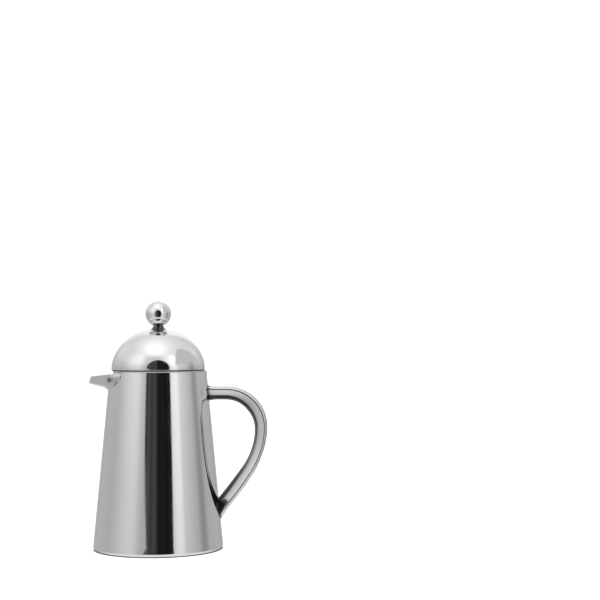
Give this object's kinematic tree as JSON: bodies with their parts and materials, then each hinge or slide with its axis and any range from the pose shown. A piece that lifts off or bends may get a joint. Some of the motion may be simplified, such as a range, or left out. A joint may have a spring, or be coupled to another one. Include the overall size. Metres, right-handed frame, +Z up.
{
  "type": "french press",
  "caption": "Conical double-walled steel french press with a beak spout, bent bar handle, domed lid, ball knob and a rod-driven filter.",
  "frame": {"origin": "centre of the jug's base, on its axis, on the surface that it stands on", "axes": "+Z up along the jug's axis, +X towards the handle, the spout at -X"},
  "size_m": [0.1654, 0.1192, 0.2274],
  "materials": {
    "mirror_steel": "mirror-polished stainless steel",
    "vessel_steel": "bright spun stainless steel",
    "base_steel": "brushed stainless steel",
    "rod_steel": "ground and polished stainless steel",
    "satin_steel": "satin stainless steel",
    "wire_steel": "drawn stainless wire",
    "mesh_steel": "fine woven stainless wire",
    "liner_plastic": "black moulded plastic",
    "bush_plastic": "dark acetal"
  },
  "bodies": {
    "jug": {"outer_shell": "mirror_steel", "inner_vessel": "vessel_steel", "base_plate": "base_steel", "spout": "mirror_steel", "handle": "mirror_steel"},
    "guide": {"knob_collar": "mirror_steel", "guide_bush": "bush_plastic", "guide_washer": "satin_steel", "guide_nut": "satin_steel"},
    "lid": {"lid_dome": "mirror_steel", "lid_liner": "liner_plastic", "lid_strainer": "satin_steel"},
    "plunger": {"plunger_rod": "rod_steel", "knob": "mirror_steel", "knob_insert": "satin_steel", "rod_shoulder": "rod_steel", "rod_end_nut": "satin_steel"},
    "filter": {"spiral_plate": "satin_steel", "filter_spring": "wire_steel", "filter_mesh": "mesh_steel", "cross_plate": "satin_steel"}
  },
  "joints": [
    {"name": "lid_lift", "type": "slide", "parent": "jug", "child": "guide", "axis": [0, 0, 1], "range_m": [0, 0.16]},
    {"name": "lid_turn", "type": "hinge", "parent": "guide", "child": "lid", "pos_m": [0, 0, 0.17], "axis": [0, 0, 1], "continuous": true},
    {"name": "plunger_press", "type": "slide", "parent": "guide", "child": "plunger", "axis": [0, 0, 1], "range_m": [0, 0.12]},
    {"name": "filter_turn", "type": "hinge", "parent": "plunger", "child": "filter", "pos_m": [0, 0, 0.017], "axis": [0, 0, 1], "continuous": true}
  ]
}
